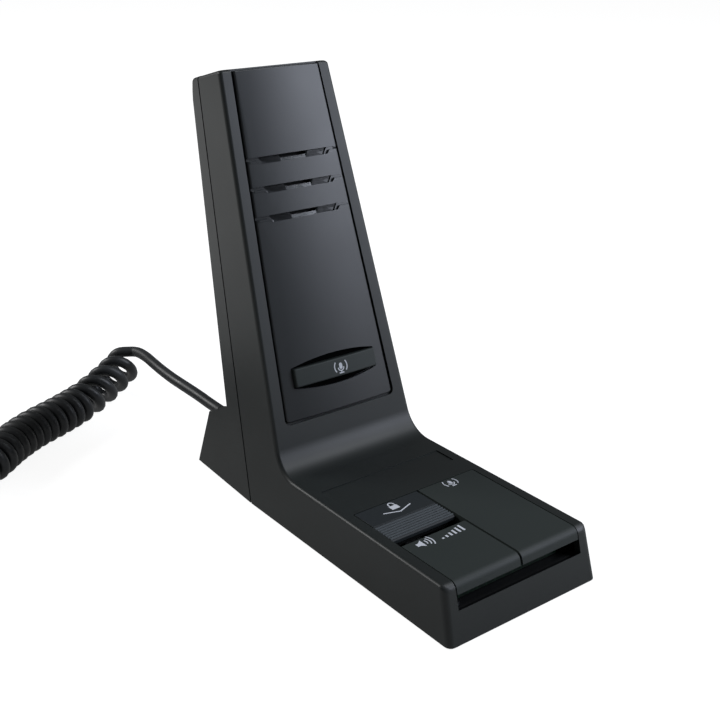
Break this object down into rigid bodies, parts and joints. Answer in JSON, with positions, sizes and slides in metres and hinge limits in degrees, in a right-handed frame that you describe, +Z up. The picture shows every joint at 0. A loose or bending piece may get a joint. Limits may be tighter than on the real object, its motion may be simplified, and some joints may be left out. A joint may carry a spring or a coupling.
{
  "type": "desk microphone",
  "caption": "Desk microphone with a low key base, a leaning slotted tower with a bar button, and a curly cord with a modular plug.",
  "frame": {"origin": "centre of the bounding box of everything but the cord, at its bottom, on the surface that the rubber feet stand on", "axes": "+X to the user's right across the keys, +Y to the back, from the keys to the tower and the cord, +Z up"},
  "size_m": [0.245, 0.3487, 0.1771],
  "materials": {
    "case_plastic": "fine textured, dark charcoal",
    "panel_plastic": "smooth satin, blue-grey charcoal",
    "key_plastic": "satin, worn smooth, dark charcoal",
    "inner_plastic": "moulded black",
    "board_resin": "green solder resist",
    "switch_plastic": "black moulded",
    "stem_plastic": "ivory nylon",
    "black_rubber": "matt black",
    "cord_jacket": "satin dark charcoal jacket",
    "steel": "zinc plated",
    "spring_steel": "bright drawn wire",
    "aluminium": "bright can",
    "cloth": "black acoustic cloth",
    "clear_plastic": "clear moulded",
    "gold": "gold plated",
    "connector_plastic": "off-white nylon"
  },
  "bodies": {
    "case": {"front_housing": "case_plastic", "rear_cover": "case_plastic", "bottom_plate": "inner_plastic", "key_frame": "inner_plastic", "cord_strap": "inner_plastic", "rubber_foot_1": "black_rubber", "rubber_foot_2": "black_rubber", "rubber_foot_3": "black_rubber", "rubber_foot_4": "black_rubber", "strain_relief": "black_rubber", "mic_boot": "black_rubber", "plug_boot": "black_rubber", "signal_wires": "black_rubber", "tower_wires": "black_rubber", "base_screw_1": "steel", "base_screw_2": "steel", "base_screw_3": "steel", "base_screw_4": "steel", "frame_screw_1": "steel", "frame_screw_2": "steel", "strap_screw_1": "steel", "strap_screw_2": "steel", "board_screw_1": "steel", "board_screw_2": "steel", "cover_screw_1": "steel", "cover_screw_2": "steel", "ballast_plate": "steel", "ptt_hinge_pin": "steel", "monitor_hinge_pin": "steel", "key_board": "board_resin", "tower_board": "board_resin", "ptt_switch": "switch_plastic", "monitor_switch": "switch_plastic", "lock_switch": "switch_plastic", "tower_switch": "switch_plastic", "board_connector": "connector_plastic", "tower_connector": "connector_plastic", "ptt_spring": "spring_steel", "monitor_spring": "spring_steel", "front_panel": "panel_plastic", "mic_capsule": "aluminium", "dust_cloth": "cloth", "plug_body": "clear_plastic", "plug_contacts": "gold", "inner_cord": "cord_jacket", "cord_lead": "cord_jacket", "cord_coil": "cord_jacket", "cord_tail": "cord_jacket"},
    "ptt": {"ptt_key": "key_plastic"},
    "ptt_stem": {"ptt_switch_stem": "stem_plastic"},
    "monitor": {"monitor_key": "key_plastic"},
    "monitor_stem": {"monitor_switch_stem": "stem_plastic"},
    "lock": {"lock_slider": "key_plastic", "lock_switch_lever": "stem_plastic"},
    "bar": {"tower_button": "key_plastic"},
    "bar_stem": {"tower_switch_stem": "stem_plastic"},
    "latch": {"plug_latch": "clear_plastic"}
  },
  "joints": [
    {"name": "ptt_key_press", "type": "hinge", "parent": "case", "child": "ptt", "pos_m": [0.01615, -0.03605, 0.0168], "axis": [1, 0, 0], "range_deg": [0, 3], "stiffness_Nm_per_rad": 0.6, "springref_deg": -5.73, "deforming": ["ptt_spring"]},
    {"name": "ptt_stem_travel", "type": "slide", "parent": "case", "child": "ptt_stem", "axis": [0, 0, -1], "range_m": [0, 0.00085]},
    {"name": "monitor_key_press", "type": "hinge", "parent": "case", "child": "monitor", "pos_m": [-0.01525, -0.06245, 0.0168], "axis": [1, 0, 0], "range_deg": [0, 5], "stiffness_Nm_per_rad": 0.3, "springref_deg": -5.73, "deforming": ["monitor_spring"]},
    {"name": "monitor_stem_travel", "type": "slide", "parent": "case", "child": "monitor_stem", "axis": [0, 0, -1], "range_m": [0, 0.00085]},
    {"name": "lock_slide", "type": "slide", "parent": "case", "child": "lock", "axis": [0, -1, 0], "range_m": [0, 0.0035]},
    {"name": "bar_press", "type": "slide", "parent": "case", "child": "bar", "axis": [0, 0.9461, -0.3239], "range_m": [0, 0.0012], "stiffness_N_per_m": 600, "springref_m": -0.0005},
    {"name": "bar_stem_travel", "type": "slide", "parent": "case", "child": "bar_stem", "axis": [0, 0.9461, -0.3239], "range_m": [0, 0.0012]},
    {"name": "plug_latch_press", "type": "hinge", "parent": "case", "child": "latch", "pos_m": [-0.1501, 0.25009, 0.00745], "axis": [0.866, -0.5, 0], "range_deg": [0, 6], "stiffness_Nm_per_rad": 0.03, "springref_deg": -1.15}
  ],
  "couplings": [
    {"joint": "ptt_stem_travel", "follows": "ptt_key_press", "m_per_rad": 0.016},
    {"joint": "monitor_stem_travel", "follows": "monitor_key_press", "m_per_rad": 0.0095},
    {"joint": "bar_stem_travel", "follows": "bar_press", "ratio": 1}
  ]
}
